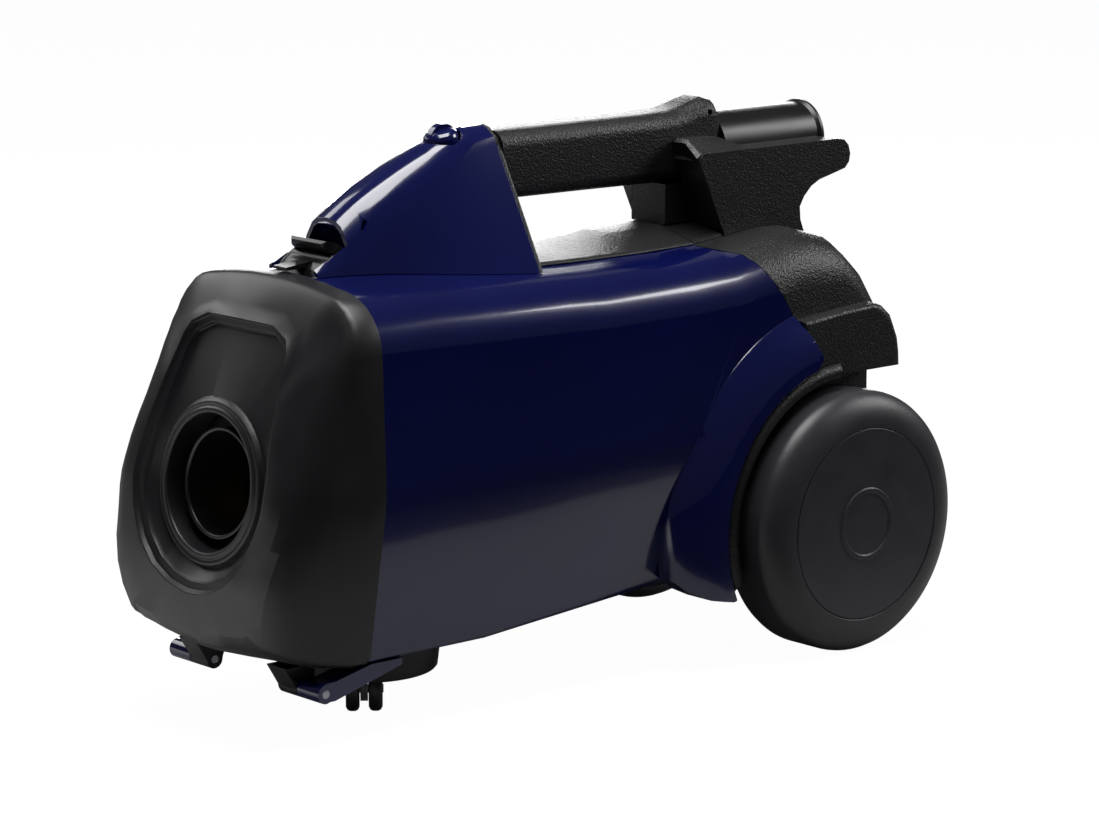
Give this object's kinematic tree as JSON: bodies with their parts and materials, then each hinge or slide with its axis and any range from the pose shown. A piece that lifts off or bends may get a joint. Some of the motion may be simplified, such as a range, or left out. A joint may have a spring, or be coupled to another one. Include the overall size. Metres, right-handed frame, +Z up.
{
  "type": "canister vacuum cleaner",
  "caption": "Compact wheeled canister vacuum cleaner with a carry handle, hinged front cover with hose port, blower tube, large rear wheels and a front caster.",
  "frame": {"origin": "middle of the footprint box, on the floor under the wheels", "axes": "front cover with the hose port faces -Y, rear wheels at +Y, X runs across with +X on the machine's left, +Z up"},
  "size_m": [0.2316, 0.501, 0.3323],
  "materials": {
    "painted_navy": "gloss",
    "black_textured": "satin",
    "black_satin": "satin",
    "black_smooth": "satin",
    "grey_plastic": "matte",
    "wheel_tread": "satin",
    "hub_grey": "satin",
    "bare_steel": "satin",
    "soft_rubber": "matte",
    "card": "matte",
    "paper": "matte",
    "filter_foam": "matte",
    "filter_media": "matte",
    "pressed_steel": "satin",
    "fan_aluminium": "satin",
    "core_steel": "satin",
    "copper_wire": "satin",
    "commutator_copper": "satin",
    "carbon": "matte",
    "phenolic": "matte",
    "bearing_steel": "satin",
    "roller_plastic": "satin"
  },
  "bodies": {
    "housing": {"main_housing": "painted_navy", "front_fairing": "painted_navy", "fairing_end_panel": "black_textured", "top_plate": "black_textured", "rear_housing": "black_textured", "cord_wrap_block": "black_textured", "handle_grip": "black_textured", "blower_tube": "black_smooth", "exhaust_duct": "black_smooth", "hinge_pins": "bare_steel", "hinge_lugs": "painted_navy", "latch_spring": "bare_steel", "latch_pin": "bare_steel", "latch_housing": "grey_plastic", "bag_bracket": "grey_plastic", "bag_collar": "card", "dust_bag": "paper", "bulkhead": "grey_plastic", "filter_grille": "black_smooth", "motor_filter": "filter_foam", "motor_front_gasket": "soft_rubber", "fan_housing": "pressed_steel", "diffuser": "grey_plastic", "field_core": "core_steel", "field_coils": "copper_wire", "motor_bearings": "bearing_steel", "motor_frame": "pressed_steel", "brush_holders": "phenolic", "carbon_brushes": "carbon", "motor_support": "grey_plastic", "switch_body": "black_smooth", "switch_bracket": "grey_plastic", "arch_liner_left": "black_textured", "arch_liner_right": "black_textured", "rear_axle": "bare_steel", "axle_caps": "bare_steel", "exhaust_grille": "black_smooth", "exhaust_filter": "filter_media", "cord_gland": "soft_rubber", "caster_bowl": "black_textured", "housing_screws": "bare_steel"},
    "front_cover": {"front_cover": "black_satin", "cover_gasket": "soft_rubber", "inlet_tube": "black_smooth", "inlet_seal": "soft_rubber"},
    "latch": {"latch_lever": "black_smooth"},
    "switch_knob": {"switch_knob": "painted_navy"},
    "wheel_left": {"rear_wheel_left": "wheel_tread", "hub_disc_left": "hub_grey"},
    "wheel_right": {"rear_wheel_right": "wheel_tread", "hub_disc_right": "hub_grey"},
    "caster": {"caster_fork": "grey_plastic", "caster_axle": "bare_steel"},
    "roller_front": {"caster_roller_front": "roller_plastic"},
    "roller_rear": {"caster_roller_rear": "roller_plastic"},
    "rotor": {"impeller": "fan_aluminium", "armature": "core_steel", "commutator": "commutator_copper", "motor_shaft": "bare_steel"}
  },
  "joints": [
    {"name": "cover_hinge", "type": "hinge", "parent": "housing", "child": "front_cover", "pos_m": [0, -0.2085, 0.0315], "axis": [1, 0, 0], "range_deg": [0, 60]},
    {"name": "latch_pivot", "type": "hinge", "parent": "housing", "child": "latch", "pos_m": [0, -0.1585, 0.262], "axis": [-1, 0, 0], "range_deg": [0, 7], "stiffness_Nm_per_rad": 0.06, "springref_deg": -17.19, "deforming": ["latch_spring"]},
    {"name": "switch_turn", "type": "hinge", "parent": "housing", "child": "switch_knob", "pos_m": [0, -0.0665, 0.323], "axis": [0, -0.2419, 0.9703], "range_deg": [0, 90]},
    {"name": "wheel_left_spin", "type": "hinge", "parent": "housing", "child": "wheel_left", "pos_m": [0.094, 0.1705, 0.08], "axis": [1, 0, 0], "continuous": true},
    {"name": "wheel_right_spin", "type": "hinge", "parent": "housing", "child": "wheel_right", "pos_m": [-0.094, 0.1705, 0.08], "axis": [1, 0, 0], "continuous": true},
    {"name": "caster_swivel", "type": "hinge", "parent": "housing", "child": "caster", "pos_m": [0, -0.1265, 0.036], "axis": [0, 0, 1], "continuous": true},
    {"name": "roller_front_spin", "type": "hinge", "parent": "caster", "child": "roller_front", "pos_m": [0.01485, -0.14648, 0.013], "axis": [0.6157, 0.788, 0], "continuous": true},
    {"name": "roller_rear_spin", "type": "hinge", "parent": "caster", "child": "roller_rear", "pos_m": [0.02298, -0.13608, 0.013], "axis": [0.6157, 0.788, 0], "continuous": true},
    {"name": "rotor_spin", "type": "hinge", "parent": "housing", "child": "rotor", "pos_m": [0, 0.0635, 0.15], "axis": [0, 1, 0], "continuous": true}
  ]
}
